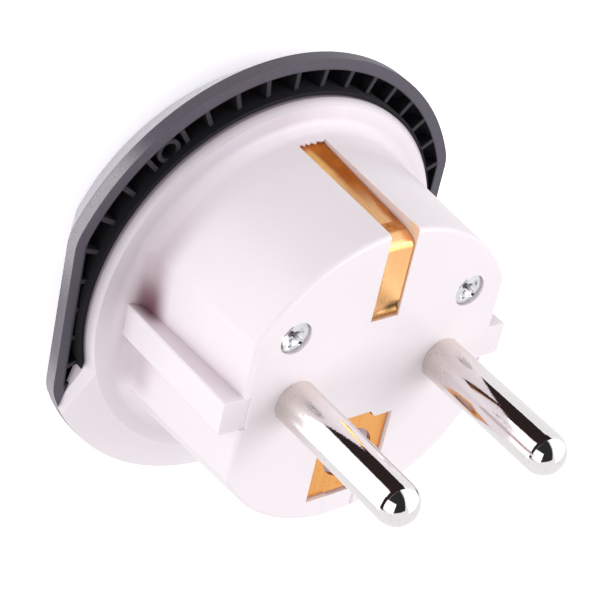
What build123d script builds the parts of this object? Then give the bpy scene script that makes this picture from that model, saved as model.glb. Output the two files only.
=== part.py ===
from build123d import *
from math import cos, radians, sin
import os

# A travel plug adapter: a round two-pin plug with side earth clips at one end and a socket
# face for flat-blade plugs at the other. It rests on the socket face with its pins up.
# Z is up, X runs along the pin pair and +Y is the side of the long earth clip.
# The origin is the centre of the socket face. Sizes are in millimetres.

# Overall heights
SHELL_HEIGHT = 6.5  # socket face to the rim plane of the front shell
BODY_HEIGHT = 20.0  # rim plane to the plug face
PIN_REACH = 19.0  # plug face to the pin tips
CLEARANCE = 0.1  # running gap between fitted pieces

# Front shell outline and walls
OUTLINE_RADIUS = 25.8
OUTLINE_FLAT = 24.1  # half the width over the two side flats
OUTLINE_CORNER = 5.0
SIDE_DEPTH = 1.5  # straight side below the rim plane
SIDE_TAPER = 39.5  # slope of the tapered side, from vertical
FACE_ROUND = 1.2
FACE_PLATE = 2.0
SEAT_HEIGHT = 1.8  # ledge for the plug body, above the face plate
RIM_WIDTH = 1.3

# Ring of cells behind the rim
RING_RADIUS = 22.1  # inner face of the ring wall, which the plug body fits
RING_WALL = 0.4
RING_WALL_RISE = 0.8  # ring wall top above the rim plane
CELL_STEP = 0.9  # straight part of a cell's outer wall
RIB_COUNT = 42  # ribs a full turn at the pitch of the right half
RIB_COUNT_LEFT = 41  # and of the left half, whose cells are a little longer
RIB_THICKNESS = 0.5
END_WEB_RIB = 13  # the cell past this rib, counted from +Y, is solid on both sides
BOSS_ANGLE = 129.0
BOSS_RADIUS = 1.35
BOSS_BORE = 0.9
BOSS_RIB_SPREAD = 5.3  # ribs beside the boss, either side of its angle

# Plug body
BODY_RADIUS = 18.0
BODY_FLAT = 15.9
BODY_DRAFT = 2.5
BODY_WALL = 2.0
BODY_EDGE = 0.5
GUIDE_REACH = 18.25  # guide ribs on the two flats
GUIDE_WIDTH = 3.9
GUIDE_ROUND = 0.3
GUIDE_END_DEPTH = 0.3
GUIDE_END_REACH = 15.1

# Flange of the plug body and the lobe that covers the lower rim
FLANGE_HEIGHT = 2.0  # flange edge above the rim plane
FLANGE_CROWN = 0.4  # flange rise from its edge to the barrel
FLANGE_BEVEL = 0.55
FLANGE_BEVEL_DROP = 0.8
FLANGE_THICKNESS = 2.0
FLANGE_FILLET = 1.5  # between the flange and the barrel
SKIRT_WALL = 1.8
LOBE_EDGE = 0.6
LOBE_TIP_ANGLE = 26.5  # lobe tips below the X axis
LOBE_LEAN = 17.0  # shoulders lean out from the Y axis
LOBE_SHOULDER = 7.0
LOBE_TIP_ROUND = 1.5
LOBE_INSET = 0.05
LOBE_BEVEL_DROP = 0.6  # bevel down the shoulders

# Plug pins
PIN_RADIUS = 2.4
PIN_PITCH = 19.0
PIN_SHANK = 2.2  # inside the plug body, below the shoulder on the plug face
PIN_SPIGOT = 1.5
PIN_HEAD_RADIUS = 2.0
PIN_HEAD_THICKNESS = 0.9
PIN_BOSS_WALL = 2.0

# Case screws
SCREW_X = 11.15
SCREW_Y = 8.1
SCREW_HEAD_RADIUS = 1.75
SCREW_HEAD_THICKNESS = 1.6
SCREW_SUNK = 0.3
SCREW_SHANK = 1.3
SCREW_LENGTH = 14.0
SCREW_RECESS_RADIUS = 1.85
SCREW_PLAY = 0.3  # radial, in the plug body
SCREW_HEAD_ROUND = 0.5
CROSS_LENGTH = 2.3
CROSS_WIDTH = 0.62
CROSS_DEPTH = 0.9
CROSS_TAPER = 10.0
CROSS_TURN = 20.0
SCREW_TUBE = 3.2
POST_RADIUS = 2.4
POST_BORE_DEPTH = 8.0
POST_TOP = 17.0

# Earth clips, and the channels that they lie in
STRIP_THICKNESS = 0.6
STRIP_WIDTH = 3.3
CHANNEL_WIDTH = 3.5
STRIP_REACH = 17.0  # outer face of a clip on the plug's side
CLIP_FOOT_REACH = 18.3  # the upper clip leans out to here at its foot
CHANNEL_FOOT = 10.2  # lower end of the side channels
CLIP_FACE_END = 7.55  # inner end of the upper channel on the plug face
CLIP_FACE_SUNK = 0.15
CLIP_LEG_DEPTH = 3.9  # plug face to the foot of the upper clip's inner leg
CLIP_GAP = 0.05
CLIP_DIP = 0.5
CLIP_BEVEL = 0.7
CLIP_BEVEL_HEIGHT = 1.9
CLIP_FOOT_GAP = 0.3
STRIP_BEND = STRIP_THICKNESS + 0.1
STRIP_CORNER = 0.7  # leg of a sloped corner between two straight runs

# Earth plate of the lower clip and its pocket
PLATE_HALF_WIDTH = 4.4
PLATE_TOP = -4.9
PLATE_BOTTOM = -14.9
PLATE_NOTCH = 0.8
PLATE_NOTCH_END = 2.2  # the notch reaches from the right edge to here
PLATE_NOTCH_START = 1.5
PLATE_SUNK = 0.45
PLATE_GAP = 0.15
EARTH_HOLE_Y = -10.0
EARTH_HOLE_RADIUS = 3.05
WELL_DEPTH = 14.5
WELL_WALL = 1.15
WELL_FLOOR = 1.5
BRIDGE_WIDTH = 4.6
BRIDGE_TOP = -15.4
BRIDGE_EDGE = -18.0
BRIDGE_SUNK = 0.3
BRIDGE_THICKNESS = 1.0

# Sleeve in the earth well
SLEEVE_BORE = 2.45
SLEEVE_WALL = 0.4
SLEEVE_HEIGHT = 7.0
SLEEVE_SLIT = 0.8

# Socket openings and contacts
BLADE_X = 6.35
BLADE_Y = -4.9
LINE_SLOT = 7.0
NEUTRAL_SLOT = 8.6
SLOT_WIDTH = 2.2
SOCKET_EARTH_Y = 7.0
SOCKET_EARTH_RADIUS = 2.7
CONTACT_THICKNESS = 0.6
CONTACT_WIDTH = 6.0
CONTACT_GRIP = 1.4  # gap between the two leaves
CONTACT_FLARE = 0.7
CONTACT_FLARE_HEIGHT = 2.0
CONTACT_BEND = 0.4
CONTACT_TOP = 18.6
EARTH_SLEEVE_BORE = 2.35
EARTH_SLEEVE_WALL = 0.5
EARTH_SLEEVE_HEIGHT = 13.0
EARTH_SLEEVE_SLIT = 1.6

# Contact carrier
CARRIER_RADIUS = 15.6
CARRIER_PLATE = 1.6
CARRIER_WALL = 1.0
CARRIER_GAP = 0.3
TOWER_HEIGHT = 6.7
STRAP_Z = 8.6  # underside of the earth strap
STRAP_FOOT_HEIGHT = 3.0
SUPPORT_LENGTH = 25.0  # web that carries the earth strap

# Heights that follow from the sizes above
RIM_Z = SHELL_HEIGHT
PLUG_FACE_Z = SHELL_HEIGHT + BODY_HEIGHT
FLANGE_Z = RIM_Z + FLANGE_HEIGHT
CREASE_Z = RIM_Z - SIDE_DEPTH
LOBE_Z = RIM_Z - LOBE_EDGE
CARRIER_Z = FACE_PLATE + CARRIER_PLATE
SEAT_Z = FACE_PLATE + SEAT_HEIGHT
FLANGE_RADIUS = RING_RADIUS - CLEARANCE
SKIRT_BORE = FLANGE_RADIUS - SKIRT_WALL
FLANGE_UNDER = FLANGE_Z - FLANGE_THICKNESS
CAVITY_TOP = PLUG_FACE_Z - BODY_WALL
BARREL_HEIGHT = PLUG_FACE_Z - FLANGE_Z
PLATE_Z = PLUG_FACE_Z - PLATE_SUNK - STRIP_THICKNESS
WELL_BOTTOM = PLUG_FACE_Z - WELL_DEPTH
PIN_X = PIN_PITCH / 2
SCREW_SPOTS = [(-SCREW_X, SCREW_Y), (SCREW_X, SCREW_Y)]
PIN_SPOTS = [(-PIN_X, 0), (PIN_X, 0)]

os.makedirs("parts", exist_ok=True)


def rim_outline(inset):
    """The round outline with two side flats, moved inwards by inset."""
    with BuildSketch() as outline:
        Circle(OUTLINE_RADIUS - inset)
        Rectangle(2 * (OUTLINE_FLAT - inset), 2 * OUTLINE_RADIUS, mode=Mode.INTERSECT)
        fillet(outline.vertices(), OUTLINE_CORNER - inset)
    return outline.sketch


def shoulder_ends(inset):
    """Lower and upper end of the right shoulder of the lobe, as x, y, x, y."""
    tip_x = (OUTLINE_RADIUS - inset) * cos(radians(LOBE_TIP_ANGLE))
    tip_y = -(OUTLINE_RADIUS - inset) * sin(radians(LOBE_TIP_ANGLE))
    top_x = tip_x - LOBE_SHOULDER * sin(radians(LOBE_LEAN))
    top_y = tip_y + LOBE_SHOULDER * cos(radians(LOBE_LEAN))
    return tip_x, tip_y, top_x, top_y


def lobe_height(x, y):
    """Height of the lobe's conical top above a point of its plan."""
    slope = FLANGE_HEIGHT / (OUTLINE_RADIUS - FLANGE_RADIUS + FLANGE_BEVEL)
    return RIM_Z + slope * (OUTLINE_RADIUS - (x**2 + y**2) ** 0.5)


def shoulder_bevel(side):
    """Plane of the bevel along a shoulder, with the removed material above it."""
    tip_x, tip_y, top_x, top_y = shoulder_ends(LOBE_INSET)
    low = Vector(side * tip_x, tip_y, lobe_height(tip_x, tip_y) - LOBE_BEVEL_DROP)
    high = Vector(side * top_x, top_y, lobe_height(top_x, top_y) - LOBE_BEVEL_DROP)
    inward = Vector(-side * cos(radians(LOBE_LEAN)), -sin(radians(LOBE_LEAN)), 0)
    across = inward * FLANGE_BEVEL + Vector(0, 0, LOBE_BEVEL_DROP)
    along = high - low
    return Plane(origin=low, x_dir=along, z_dir=along.cross(across) * side)


def lobe_outline(inset):
    """The part of the outline below the two leaning shoulders, with rounded tips."""
    tip_x, tip_y, top_x, top_y = shoulder_ends(inset)
    with BuildSketch() as lobe:
        Polygon(
            (-tip_x, tip_y),
            (-tip_x, -OUTLINE_RADIUS),
            (tip_x, -OUTLINE_RADIUS),
            (tip_x, tip_y),
            (top_x, top_y),
            (-top_x, top_y),
            align=None,
        )
        with BuildSketch(mode=Mode.INTERSECT):
            add(rim_outline(inset))
        tips = lobe.vertices().group_by(Axis.X)
        fillet(tips[0] + tips[-1], LOBE_TIP_ROUND)
    return lobe.sketch


def barrel_plan(inset):
    """Section of the plug's barrel: a circle with two flats, moved inwards by inset."""
    with BuildSketch() as plan:
        Circle(BODY_RADIUS - inset)
        Rectangle(2 * (BODY_FLAT - inset), 2 * BODY_RADIUS, mode=Mode.INTERSECT)
    return plan.sketch


def plate_outline(inset):
    """The earth plate seen from above, with its notched upper right corner."""
    side = PLATE_HALF_WIDTH - inset
    top = PLATE_TOP - inset
    bottom = PLATE_BOTTOM + inset
    with BuildSketch() as outline:
        Polygon(
            (-side, bottom),
            (side, bottom),
            (side, top - PLATE_NOTCH),
            (PLATE_NOTCH_END, top - PLATE_NOTCH),
            (PLATE_NOTCH_START, top),
            (-side, top),
            align=None,
        )
    return outline.sketch


def strip_section(points, thickness, bend):
    """Section of a bent strip, one thickness to the left of its path, bent at that radius."""
    with BuildSketch() as section:
        with BuildLine():
            FilletPolyline(*points, radius=bend)
            offset(amount=thickness, side=Side.LEFT)
        make_face()
    return section.sketch


def is_root_edge(edge):
    """True for the edges where the barrel stands on the crown of the flange."""
    heights = [(edge @ place).Z - FLANGE_Z for place in (0, 0.5, 1)]
    return min(heights) > CLEARANCE and max(heights) < 2 * FLANGE_CROWN


# Space inside the ring of cells, less the ribs, ring wall and boss that stand in it
with BuildPart() as cell_space:
    with BuildSketch(Plane.XY.offset(RIM_Z)):
        add(rim_outline(RIM_WIDTH))
    extrude(amount=-CELL_STEP)
    with BuildSketch(Plane.XY.offset(RIM_Z - CELL_STEP)):
        add(rim_outline(RIM_WIDTH))
    extrude(amount=-(RIM_Z - CELL_STEP - FACE_PLATE), taper=SIDE_TAPER)
    with BuildSketch(Plane.XY):
        Circle(RING_RADIUS + RING_WALL)
    extrude(amount=RIM_Z, mode=Mode.SUBTRACT)
    boss_x = (RING_RADIUS + RING_WALL + BOSS_BORE) * cos(radians(BOSS_ANGLE))
    boss_y = (RING_RADIUS + RING_WALL + BOSS_BORE) * sin(radians(BOSS_ANGLE))
    rib_pitch = 360 / RIB_COUNT
    left_pitch = 360 / RIB_COUNT_LEFT
    boss_space = BOSS_RIB_SPREAD + rib_pitch / 2
    rib_angles = [90 - rib_pitch * step for step in range(RIB_COUNT // 2)]
    rib_angles += [90 + left_pitch * step for step in range(1, RIB_COUNT_LEFT // 2)]
    rib_angles = [angle for angle in rib_angles if abs(angle - BOSS_ANGLE) > boss_space]
    rib_angles += [BOSS_ANGLE - BOSS_RIB_SPREAD, BOSS_ANGLE + BOSS_RIB_SPREAD]
    web_turn = (END_WEB_RIB + 0.5) * rib_pitch
    web_length = 2 * OUTLINE_RADIUS * sin(radians(rib_pitch / 2))
    with BuildSketch(Plane.XY):
        for angle in rib_angles:
            with Locations(Rotation(0, 0, angle)):
                with Locations((RING_RADIUS, 0)):
                    Rectangle(
                        OUTLINE_RADIUS - RING_RADIUS,
                        RIB_THICKNESS,
                        align=(Align.MIN, Align.CENTER),
                    )
        for angle in (90 + web_turn, 90 - web_turn):
            with Locations(Rotation(0, 0, angle)):
                with Locations((RING_RADIUS, 0)):
                    Rectangle(
                        OUTLINE_RADIUS - RING_RADIUS,
                        web_length,
                        align=(Align.MIN, Align.CENTER),
                    )
        with Locations((boss_x, boss_y)):
            Circle(BOSS_RADIUS)
            Circle(BOSS_BORE, mode=Mode.SUBTRACT)
    extrude(amount=RIM_Z, mode=Mode.SUBTRACT)

# Front shell: socket face, tapered side, rim, ring of cells and screw posts
with BuildPart() as front_shell:
    with BuildSketch(Plane.XY.offset(CREASE_Z)):
        add(rim_outline(0))
    extrude(amount=-CREASE_Z, taper=SIDE_TAPER)
    fillet(front_shell.faces().sort_by(Axis.Z)[0].edges(), FACE_ROUND)
    with BuildSketch(Plane.XY.offset(CREASE_Z)):
        add(rim_outline(0))
    extrude(amount=SIDE_DEPTH)
    add(cell_space.part, mode=Mode.SUBTRACT)
    with BuildSketch(Plane.XY.offset(RIM_Z)):
        Circle(RING_RADIUS + RING_WALL)
    extrude(amount=RING_WALL_RISE)
    with BuildSketch(Plane.XY.offset(SEAT_Z)):
        Circle(RING_RADIUS)
    extrude(amount=SHELL_HEIGHT, mode=Mode.SUBTRACT)
    with BuildSketch(Plane.XY.offset(FACE_PLATE)):
        Circle(SKIRT_BORE)
    extrude(amount=SEAT_HEIGHT, mode=Mode.SUBTRACT)
    with BuildSketch(Plane.XY.offset(LOBE_Z)):
        add(lobe_outline(-CLEARANCE))
    extrude(amount=SHELL_HEIGHT, mode=Mode.SUBTRACT)
    with BuildSketch(Plane.XY.offset(FACE_PLATE)):
        with Locations(*SCREW_SPOTS):
            Circle(POST_RADIUS)
    extrude(amount=POST_TOP - FACE_PLATE)
    with BuildSketch(Plane.XY.offset(POST_TOP)):
        with Locations(*SCREW_SPOTS):
            Circle(SCREW_SHANK)
    extrude(amount=-POST_BORE_DEPTH, mode=Mode.SUBTRACT)
    with BuildSketch(Plane.XY):
        with Locations((BLADE_X, BLADE_Y)):
            Rectangle(SLOT_WIDTH, LINE_SLOT)
        with Locations((-BLADE_X, BLADE_Y)):
            Rectangle(SLOT_WIDTH, NEUTRAL_SLOT)
        with Locations((0, SOCKET_EARTH_Y)):
            Circle(SOCKET_EARTH_RADIUS)
    extrude(amount=FACE_PLATE, mode=Mode.SUBTRACT)
front_shell.part.label = "front_shell"
export_step(front_shell.part, "parts/front_shell.step")

# Plug body: barrel, guide ribs, flange and lobe outside, walls and tubes inside
with BuildPart() as lobe:
    with BuildSketch(Plane.XY.offset(LOBE_Z)):
        add(lobe_outline(LOBE_INSET))
    extrude(amount=FLANGE_Z - LOBE_Z)
    with BuildSketch(Plane.XZ) as slope:
        with BuildLine():
            Polyline(
                (0, LOBE_Z),
                (OUTLINE_RADIUS, LOBE_Z),
                (OUTLINE_RADIUS, RIM_Z),
                (FLANGE_RADIUS - FLANGE_BEVEL, FLANGE_Z),
                (0, FLANGE_Z),
                close=True,
            )
        make_face()
    revolve(axis=Axis.Z, mode=Mode.INTERSECT)
    split(bisect_by=shoulder_bevel(-1), keep=Keep.BOTTOM)
    split(bisect_by=shoulder_bevel(1), keep=Keep.BOTTOM)

with BuildPart() as plug_body:
    with BuildSketch(Plane.XY.offset(PLUG_FACE_Z)):
        add(barrel_plan(0))
    extrude(amount=-BARREL_HEIGHT, taper=-BODY_DRAFT)
    fillet(plug_body.faces().sort_by(Axis.Z)[-1].edges(), BODY_EDGE)
    with BuildSketch(Plane.XZ):
        with BuildLine():
            Polyline(
                (0, SEAT_Z),
                (FLANGE_RADIUS, SEAT_Z),
                (FLANGE_RADIUS, FLANGE_Z - FLANGE_BEVEL_DROP),
                (FLANGE_RADIUS - FLANGE_BEVEL, FLANGE_Z),
                (BODY_FLAT, FLANGE_Z + FLANGE_CROWN),
                (0, FLANGE_Z + FLANGE_CROWN),
                close=True,
            )
        make_face()
    revolve(axis=Axis.Z)
    root_edges = plug_body.edges().filter_by(is_root_edge)
    fillet(root_edges, FLANGE_FILLET)
    with BuildSketch(Plane.XY.offset(FLANGE_Z)):
        RectangleRounded(2 * GUIDE_REACH, GUIDE_WIDTH, GUIDE_ROUND)
    extrude(amount=PLUG_FACE_Z - GUIDE_END_DEPTH - FLANGE_Z)
    with BuildSketch(Plane.XY.offset(PLUG_FACE_Z)):
        with GridLocations(2 * OUTLINE_RADIUS, 0, 2, 1):
            Rectangle(2 * (OUTLINE_RADIUS - GUIDE_END_REACH), GUIDE_WIDTH)
    extrude(amount=-GUIDE_END_DEPTH, mode=Mode.SUBTRACT)
    add(lobe.part)
    # Inside of the skirt and the barrel
    with BuildSketch(Plane.XY.offset(SEAT_Z)):
        Circle(SKIRT_BORE)
    extrude(amount=FLANGE_UNDER - SEAT_Z, mode=Mode.SUBTRACT)
    with BuildSketch(Plane.XY.offset(CAVITY_TOP)):
        add(barrel_plan(BODY_WALL))
    extrude(amount=-(CAVITY_TOP - FLANGE_UNDER), taper=-BODY_DRAFT, mode=Mode.SUBTRACT)
    # Tubes for the pins, the screws and the earth pin
    with BuildSketch(Plane.XY.offset(CONTACT_TOP)):
        with Locations(*PIN_SPOTS):
            Circle(PIN_SHANK + PIN_BOSS_WALL)
    extrude(amount=CAVITY_TOP - CONTACT_TOP)
    with BuildSketch(Plane.XY.offset(POST_TOP)):
        with Locations(*SCREW_SPOTS):
            Circle(SCREW_TUBE)
    extrude(amount=CAVITY_TOP - POST_TOP)
    with BuildSketch(Plane.XY.offset(WELL_BOTTOM - WELL_FLOOR)):
        with Locations((0, EARTH_HOLE_Y)):
            Circle(EARTH_HOLE_RADIUS + WELL_WALL)
    extrude(amount=CAVITY_TOP - WELL_BOTTOM + WELL_FLOOR)
    with Locations(Plane.XY.offset(PLUG_FACE_Z)):
        with Locations(*PIN_SPOTS):
            Hole(PIN_SHANK, PLUG_FACE_Z - CONTACT_TOP)
        with Locations(*SCREW_SPOTS):
            CounterBoreHole(
                SCREW_SHANK + SCREW_PLAY,
                SCREW_RECESS_RADIUS,
                SCREW_SUNK + SCREW_HEAD_THICKNESS,
                PLUG_FACE_Z - POST_TOP,
            )
        with Locations((0, EARTH_HOLE_Y)):
            Hole(EARTH_HOLE_RADIUS, WELL_DEPTH - SLEEVE_HEIGHT)
            Hole(SLEEVE_BORE + SLEEVE_WALL, WELL_DEPTH)
    # Channels of the two side clips
    with BuildSketch(Plane.XY.offset(CHANNEL_FOOT)):
        with Locations((0, BODY_RADIUS)):
            Rectangle(CHANNEL_WIDTH, 2 * (BODY_RADIUS - STRIP_REACH + 2 * BODY_WALL))
    extrude(amount=BODY_HEIGHT, mode=Mode.SUBTRACT)
    with BuildSketch(Plane.XY.offset(CAVITY_TOP)):
        with Locations((0, CLIP_FACE_END)):
            Rectangle(CHANNEL_WIDTH, BODY_RADIUS, align=(Align.CENTER, Align.MIN))
    extrude(amount=BODY_WALL, mode=Mode.SUBTRACT)
    with BuildSketch(Plane.XY.offset(CHANNEL_FOOT)):
        with Locations((0, -BODY_RADIUS)):
            Rectangle(CHANNEL_WIDTH, 2 * (BODY_RADIUS - STRIP_REACH + 2 * BODY_WALL))
    extrude(amount=PLUG_FACE_Z - BRIDGE_SUNK - BRIDGE_THICKNESS - CHANNEL_FOOT, mode=Mode.SUBTRACT)
    # Pocket of the earth plate, and the sunk bridge between it and the barrel's edge
    with BuildSketch(Plane.XY.offset(PLATE_Z)):
        add(plate_outline(-PLATE_GAP))
    extrude(amount=PLUG_FACE_Z - PLATE_Z, mode=Mode.SUBTRACT)
    with BuildSketch(Plane.XY.offset(CAVITY_TOP)):
        with Locations((0, BRIDGE_TOP)):
            Rectangle(
                CHANNEL_WIDTH,
                PLATE_BOTTOM + STRIP_CORNER - BRIDGE_TOP,
                align=(Align.CENTER, Align.MIN),
            )
    extrude(amount=BODY_WALL, mode=Mode.SUBTRACT)
    with BuildSketch(Plane.XY.offset(PLUG_FACE_Z)):
        with Locations((0, BRIDGE_TOP)):
            Rectangle(BRIDGE_WIDTH, BODY_RADIUS, align=(Align.CENTER, Align.MAX))
    extrude(amount=-BRIDGE_SUNK, mode=Mode.SUBTRACT)
    with BuildSketch(Plane.XY.offset(PLUG_FACE_Z - BRIDGE_SUNK)):
        with Locations((0, BRIDGE_TOP)):
            Rectangle(BRIDGE_WIDTH, BRIDGE_TOP - BRIDGE_EDGE, align=(Align.CENTER, Align.MAX))
    extrude(amount=-BRIDGE_THICKNESS)
plug_body.part.label = "plug_body"
export_step(plug_body.part, "parts/plug_body.step")

# Plug pins, each with a spigot riveted over through its contact
for pin_name, pin_x in (("pin_left", -PIN_X), ("pin_right", PIN_X)):
    with BuildPart() as pin:
        with BuildSketch(Plane((pin_x, 0, CONTACT_TOP), x_dir=(1, 0, 0), z_dir=(0, -1, 0))):
            with BuildLine():
                dome_z = PLUG_FACE_Z + PIN_REACH - PIN_RADIUS - CONTACT_TOP
                Polyline(
                    (0, dome_z + PIN_RADIUS),
                    (0, -CONTACT_THICKNESS - PIN_HEAD_THICKNESS),
                    (PIN_HEAD_RADIUS, -CONTACT_THICKNESS - PIN_HEAD_THICKNESS / 2),
                    (PIN_HEAD_RADIUS, -CONTACT_THICKNESS),
                    (PIN_SPIGOT, -CONTACT_THICKNESS),
                    (PIN_SPIGOT, 0),
                    (PIN_SHANK, 0),
                    (PIN_SHANK, PLUG_FACE_Z - CONTACT_TOP),
                    (PIN_RADIUS, PLUG_FACE_Z - CONTACT_TOP),
                    (PIN_RADIUS, dome_z),
                )
                CenterArc((0, dome_z), PIN_RADIUS, 0, 90)
            make_face()
        revolve(axis=Axis((pin_x, 0, 0), (0, 0, 1)))
    pin.part.label = pin_name
    export_step(pin.part, f"parts/{pin_name}.step")

# Contacts: an inverted U that grips a blade, with a tab riveted to the pin
with BuildPart() as line_contact:
    grip = CONTACT_GRIP / 2
    under_top = CONTACT_TOP - CONTACT_THICKNESS
    leaf_path = [
        (BLADE_X - grip - CONTACT_FLARE, CARRIER_Z),
        (BLADE_X - grip, CARRIER_Z + CONTACT_FLARE_HEIGHT),
        (BLADE_X - grip, under_top),
        (BLADE_X + grip, under_top),
        (BLADE_X + grip, CARRIER_Z + CONTACT_FLARE_HEIGHT),
        (BLADE_X + grip + CONTACT_FLARE, CARRIER_Z),
    ]
    with BuildSketch(Plane.XZ.offset(-BLADE_Y)):
        add(strip_section(leaf_path, CONTACT_THICKNESS, CONTACT_BEND))
    extrude(amount=CONTACT_WIDTH / 2, both=True)
    with BuildSketch(Plane.XY.offset(CONTACT_TOP)):
        with Locations((BLADE_X, BLADE_Y)):
            Rectangle(CONTACT_GRIP + CONTACT_THICKNESS, CONTACT_WIDTH)
        with Locations((PIN_X, 0)):
            Circle(PIN_HEAD_RADIUS + CONTACT_THICKNESS)
        make_hull()
        with Locations((PIN_X, 0)):
            Circle(PIN_SPIGOT, mode=Mode.SUBTRACT)
    extrude(amount=-CONTACT_THICKNESS)
line_contact.part.label = "line_contact"
export_step(line_contact.part, "parts/line_contact.step")

with BuildPart() as neutral_contact:
    mirror(line_contact.part, about=Plane.YZ)
neutral_contact.part.label = "neutral_contact"
export_step(neutral_contact.part, "parts/neutral_contact.step")

# Upper earth clip: up the side, over the barrel's edge, along the face and down inside
with BuildPart() as earth_clip_upper:
    face_z = PLUG_FACE_Z - CLIP_FACE_SUNK
    leg_y = CLIP_FACE_END + CLIP_GAP
    clip_path = [
        (CLIP_FOOT_REACH, CHANNEL_FOOT + CLIP_FOOT_GAP),
        (STRIP_REACH, PLUG_FACE_Z - CLIP_BEVEL_HEIGHT),
        (STRIP_REACH - CLIP_BEVEL, face_z),
        (leg_y + CLIP_DIP, face_z),
        (leg_y, face_z - CLIP_DIP),
        (leg_y, PLUG_FACE_Z - CLIP_LEG_DEPTH),
    ]
    with BuildSketch(Plane.YZ):
        add(strip_section(clip_path, STRIP_THICKNESS, STRIP_BEND))
    extrude(amount=STRIP_WIDTH / 2, both=True)
earth_clip_upper.part.label = "earth_clip_upper"
export_step(earth_clip_upper.part, "parts/earth_clip_upper.step")

# Lower earth clip: the plate round the earth hole, and a tongue under the bridge and down the side
with BuildPart() as earth_clip_lower:
    with BuildSketch(Plane.XY.offset(PLATE_Z)):
        add(plate_outline(0))
        with Locations((0, EARTH_HOLE_Y)):
            Circle(EARTH_HOLE_RADIUS, mode=Mode.SUBTRACT)
    extrude(amount=STRIP_THICKNESS)
    tongue_z = PLUG_FACE_Z - BRIDGE_SUNK - BRIDGE_THICKNESS - CLEARANCE
    tongue_path = [
        (PLATE_BOTTOM + STRIP_CORNER, PLATE_Z + STRIP_THICKNESS),
        (PLATE_BOTTOM + CLEARANCE, PLATE_Z + STRIP_THICKNESS),
        (BRIDGE_TOP + CLEARANCE, tongue_z),
        (-STRIP_REACH + STRIP_CORNER, tongue_z),
        (-STRIP_REACH, tongue_z - STRIP_CORNER),
        (-STRIP_REACH, CHANNEL_FOOT + CLIP_FOOT_GAP),
    ]
    with BuildSketch(Plane.YZ):
        add(strip_section(tongue_path, STRIP_THICKNESS, STRIP_BEND))
    extrude(amount=STRIP_WIDTH / 2, both=True)
earth_clip_lower.part.label = "earth_clip_lower"
export_step(earth_clip_lower.part, "parts/earth_clip_lower.step")

# Split sleeve at the bottom of the earth well
with BuildPart() as earth_pin_sleeve:
    with BuildSketch(Plane.XY.offset(WELL_BOTTOM)):
        with Locations((0, EARTH_HOLE_Y)):
            Circle(SLEEVE_BORE + SLEEVE_WALL)
            Circle(SLEEVE_BORE, mode=Mode.SUBTRACT)
            Rectangle(
                2 * EARTH_HOLE_RADIUS,
                SLEEVE_SLIT,
                align=(Align.MIN, Align.CENTER),
                mode=Mode.SUBTRACT,
            )
    extrude(amount=SLEEVE_HEIGHT)
earth_pin_sleeve.part.label = "earth_pin_sleeve"
export_step(earth_pin_sleeve.part, "parts/earth_pin_sleeve.step")

# Socket earth contact: a rolled sleeve with a tab that carries the upper clip's leg
with BuildPart() as earth_contact:
    sleeve_outer = EARTH_SLEEVE_BORE + EARTH_SLEEVE_WALL
    with BuildSketch(Plane.XY.offset(CARRIER_Z)):
        with Locations((0, SOCKET_EARTH_Y)):
            Circle(sleeve_outer)
            Circle(EARTH_SLEEVE_BORE, mode=Mode.SUBTRACT)
            Rectangle(
                2 * sleeve_outer,
                EARTH_SLEEVE_SLIT,
                align=(Align.MIN, Align.CENTER),
                mode=Mode.SUBTRACT,
            )
    extrude(amount=EARTH_SLEEVE_HEIGHT)
    tab_y = SOCKET_EARTH_Y + sleeve_outer
    tab_z = PLUG_FACE_Z - CLIP_LEG_DEPTH
    tab_path = [
        (tab_y, CARRIER_Z + EARTH_SLEEVE_HEIGHT - STRIP_CORNER),
        (tab_y, tab_z),
        (CLIP_FACE_END, tab_z),
    ]
    with BuildSketch(Plane.YZ):
        add(strip_section(tab_path, EARTH_SLEEVE_WALL, STRIP_BEND))
    extrude(amount=STRIP_WIDTH / 2, both=True)
earth_contact.part.label = "earth_contact"
export_step(earth_contact.part, "parts/earth_contact.step")

# Earth strap: a ring round the sleeve, a bar below the well and a foot on the lower clip
with BuildPart() as earth_strap:
    strap_top = STRAP_Z + STRIP_THICKNESS
    foot_y = -STRIP_REACH + 2 * STRIP_THICKNESS
    bar_end = foot_y + 2 * STRIP_CORNER
    with BuildSketch(Plane.XY.offset(STRAP_Z)):
        with Locations((0, SOCKET_EARTH_Y)):
            Circle(sleeve_outer + CARRIER_WALL + CARRIER_GAP)
            Rectangle(STRIP_WIDTH, SOCKET_EARTH_Y - bar_end, align=(Align.CENTER, Align.MAX))
            Circle(sleeve_outer + CLIP_GAP, mode=Mode.SUBTRACT)
    extrude(amount=STRIP_THICKNESS)
    foot_path = [
        (bar_end + STRIP_CORNER, strap_top),
        (foot_y + STRIP_CORNER, strap_top),
        (foot_y, CHANNEL_FOOT + STRIP_CORNER),
        (foot_y, CHANNEL_FOOT + STRAP_FOOT_HEIGHT),
    ]
    with BuildSketch(Plane.YZ):
        add(strip_section(foot_path, STRIP_THICKNESS, STRIP_BEND))
    extrude(amount=STRIP_WIDTH / 2, both=True)
earth_strap.part.label = "earth_strap"
export_step(earth_strap.part, "parts/earth_strap.step")

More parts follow.
